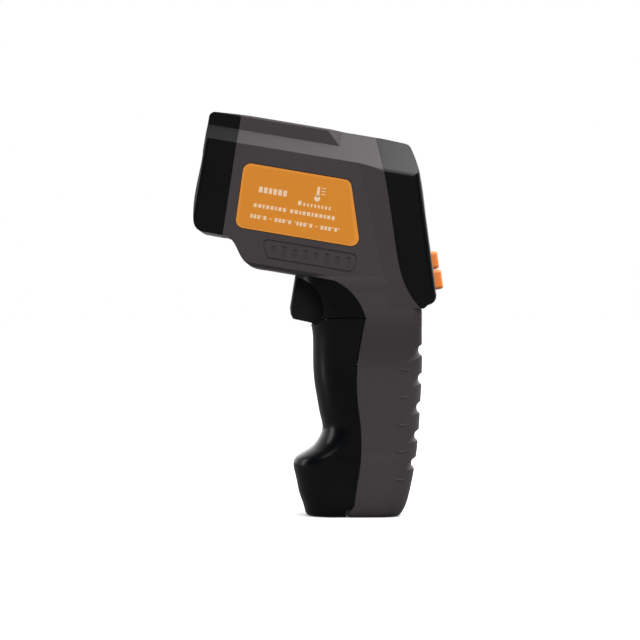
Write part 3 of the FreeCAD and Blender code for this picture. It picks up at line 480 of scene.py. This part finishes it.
# ---- the lens: a moulded disc with fine rings ----
def lens():
    u0, u1 = span("lens", U)
    w0, w1 = span("lens", W)
    radius = (w1 - w0) / 2
    centre = W * (w0 + w1) / 2
    bm = bmesh.new()
    profile = [(radius, u1), (radius, u0 + 0.5 * MM)]
    rings, ringed_share, ridge_share = 11, 0.9, 0.85
    for k in range(rings):
        r_out = radius * ringed_share * (rings - k) / rings
        r_in = radius * ringed_share * (rings - k - ridge_share) / rings
        dome = 0.35 * MM * (1 - (r_out / radius) ** 2)
        profile += [(r_out, u0 + 0.42 * MM - dome), (r_in, u0 + 0.30 * MM - dome)]
    profile.append((0.0, u0 + 0.02 * MM))
    profile = [(r, max(u, u0)) for r, u in profile] + [(0.0, u1)]
    steps = 72
    grid = []
    for r, u in profile:
        if r == 0.0:
            grid.append([bm.verts.new(centre + U * u)])
            continue
        grid.append([bm.verts.new(centre + U * u + W * r * math.cos(k * math.tau / steps)
                                  + ACROSS * r * math.sin(k * math.tau / steps)) for k in range(steps)])
    for a, b in zip(grid, grid[1:] + grid[:1]):
        for k in range(steps):
            j = (k + 1) % steps
            if len(a) == 1 and len(b) == 1:
                continue
            if len(b) == 1:
                bm.faces.new((a[k], a[j], b[0]))
            elif len(a) == 1:
                bm.faces.new((a[0], b[j], b[k]))
            else:
                bm.faces.new((a[k], a[j], b[j], b[k]))
    obj = piece("lens_moulded", bm, OPTIC, "housing")
    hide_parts("lens")


lens()


# ---- floor, light, camera ----
FLOOR_REACH = 30.0
FLOOR_DROP = 0.0002       # the floor lies this far under the object
SUNS = (("overhead", 0.5, 60, (4, 8, 0)), ("key", 2.5, 50, (48, 0, 8)))      # name, energy, spread, turn
SOFTBOXES = (("rear_softbox", 3.2, (0.30, 0.30), (0.25, -0.07, 0.58), (0.03, 0, 0.12)),
             ("front_softbox", 1.6, (0.16, 0.45), (-0.60, -0.04, 0.20), (0, 0, 0.10)))


def floor_and_light():
    """A white floor and a white surround, seen as such only by the camera, with soft lights over them."""
    bm = bmesh.new()
    corners = ((-1, -1), (1, -1), (1, 1), (-1, 1))
    bm.faces.new([bm.verts.new((x * FLOOR_REACH, y * FLOOR_REACH, -FLOOR_DROP)) for x, y in corners])
    mesh = bpy.data.meshes.new("floor")
    bm.to_mesh(mesh)
    bm.free()
    floor = bpy.data.objects.new("floor", mesh)
    bpy.context.scene.collection.objects.link(floor)
    mat = bpy.data.materials.new("floor_white")
    mat.use_nodes = True
    tree = mat.node_tree
    shader = tree.nodes["Principled BSDF"]
    shader.inputs["Base Color"].default_value = (0.93, 0.93, 0.93, 1)
    shader.inputs["Roughness"].default_value = 0.9
    shader.inputs["Specular IOR Level"].default_value = 0.0
    shader.inputs["Emission Color"].default_value = (1, 1, 1, 1)
    shader.inputs["Emission Strength"].default_value = 0.2
    dim = tree.nodes.new("ShaderNodeBsdfDiffuse")
    dim.inputs["Color"].default_value = (0.22, 0.22, 0.22, 1)
    path = tree.nodes.new("ShaderNodeLightPath")
    mix = tree.nodes.new("ShaderNodeMixShader")
    link(tree, path.outputs["Is Camera Ray"], mix.inputs["Fac"])
    link(tree, dim.outputs["BSDF"], mix.inputs[1])
    link(tree, shader.outputs["BSDF"], mix.inputs[2])
    link(tree, mix.outputs["Shader"], tree.nodes["Material Output"].inputs["Surface"])
    mesh.materials.append(mat)

    world = bpy.data.worlds.new("studio")
    bpy.context.scene.world = world
    world.use_nodes = True
    tree = world.node_tree
    back = tree.nodes["Background"]
    seen = tree.nodes.new("ShaderNodeBackground")
    seen.inputs["Color"].default_value = (1, 1, 1, 1)
    seen.inputs["Strength"].default_value = 1.0
    back.inputs["Strength"].default_value = 1.0
    place = tree.nodes.new("ShaderNodeTexCoord")
    parts = tree.nodes.new("ShaderNodeSeparateXYZ")
    fade = tree.nodes.new("ShaderNodeMapRange")
    fade.inputs["From Min"].default_value = -0.1
    fade.inputs["From Max"].default_value = 0.85
    fade.inputs["To Min"].default_value = 0.04
    fade.inputs["To Max"].default_value = 2.0
    link(tree, place.outputs["Generated"], parts.inputs["Vector"])
    link(tree, parts.outputs["Y"], fade.inputs["Value"])
    link(tree, fade.outputs["Result"], back.inputs["Color"])
    path = tree.nodes.new("ShaderNodeLightPath")
    mix = tree.nodes.new("ShaderNodeMixShader")
    out = tree.nodes["World Output"]
    link(tree, path.outputs["Is Camera Ray"], mix.inputs["Fac"])
    link(tree, back.outputs["Background"], mix.inputs[1])
    link(tree, seen.outputs["Background"], mix.inputs[2])
    link(tree, mix.outputs["Shader"], out.inputs["Surface"])

    for name, energy, spread, turn in SUNS:
        light = bpy.data.lights.new(name, "SUN")
        light.energy = energy
        light.angle = math.radians(spread)
        lamp = bpy.data.objects.new(name, light)
        lamp.rotation_euler = [math.radians(x) for x in turn]
        bpy.context.scene.collection.objects.link(lamp)

    for name, energy, size, place, target in SOFTBOXES:
        soft = bpy.data.lights.new(name, "AREA")
        soft.shape = "RECTANGLE"
        soft.size, soft.size_y = size
        soft.energy = energy
        lamp = bpy.data.objects.new(name, soft)
        lamp.location = place
        lamp.rotation_euler = (Vector(target) - lamp.location).to_track_quat("-Z", "Y").to_euler()
        bpy.context.scene.collection.objects.link(lamp)


VIEW_WIDTH = 0.2432       # the width that the view takes in at the object's nearer side
NEAR_SIDE_Y = -0.016
VIEW_RIGHT, VIEW_DOWN = 0.000487, 0.00206    # the view's middle, off the middle of the object


def camera():
    data = bpy.data.cameras.new("camera")
    data.lens = 150.0
    data.sensor_width = 36.0
    away = VIEW_WIDTH * data.lens / data.sensor_width - NEAR_SIDE_Y
    middle = (cad_low + cad_high) / 2
    data.clip_start, data.clip_end = 0.01, 100.0
    obj = bpy.data.objects.new("camera", data)
    obj.location = (middle.x + VIEW_RIGHT, -away, middle.z - VIEW_DOWN)
    obj.rotation_euler = (math.radians(90), 0, 0)
    bpy.context.scene.collection.objects.link(obj)
    bpy.context.scene.camera = obj


floor_and_light()
camera()
bpy.context.scene.view_settings.view_transform = "Standard"
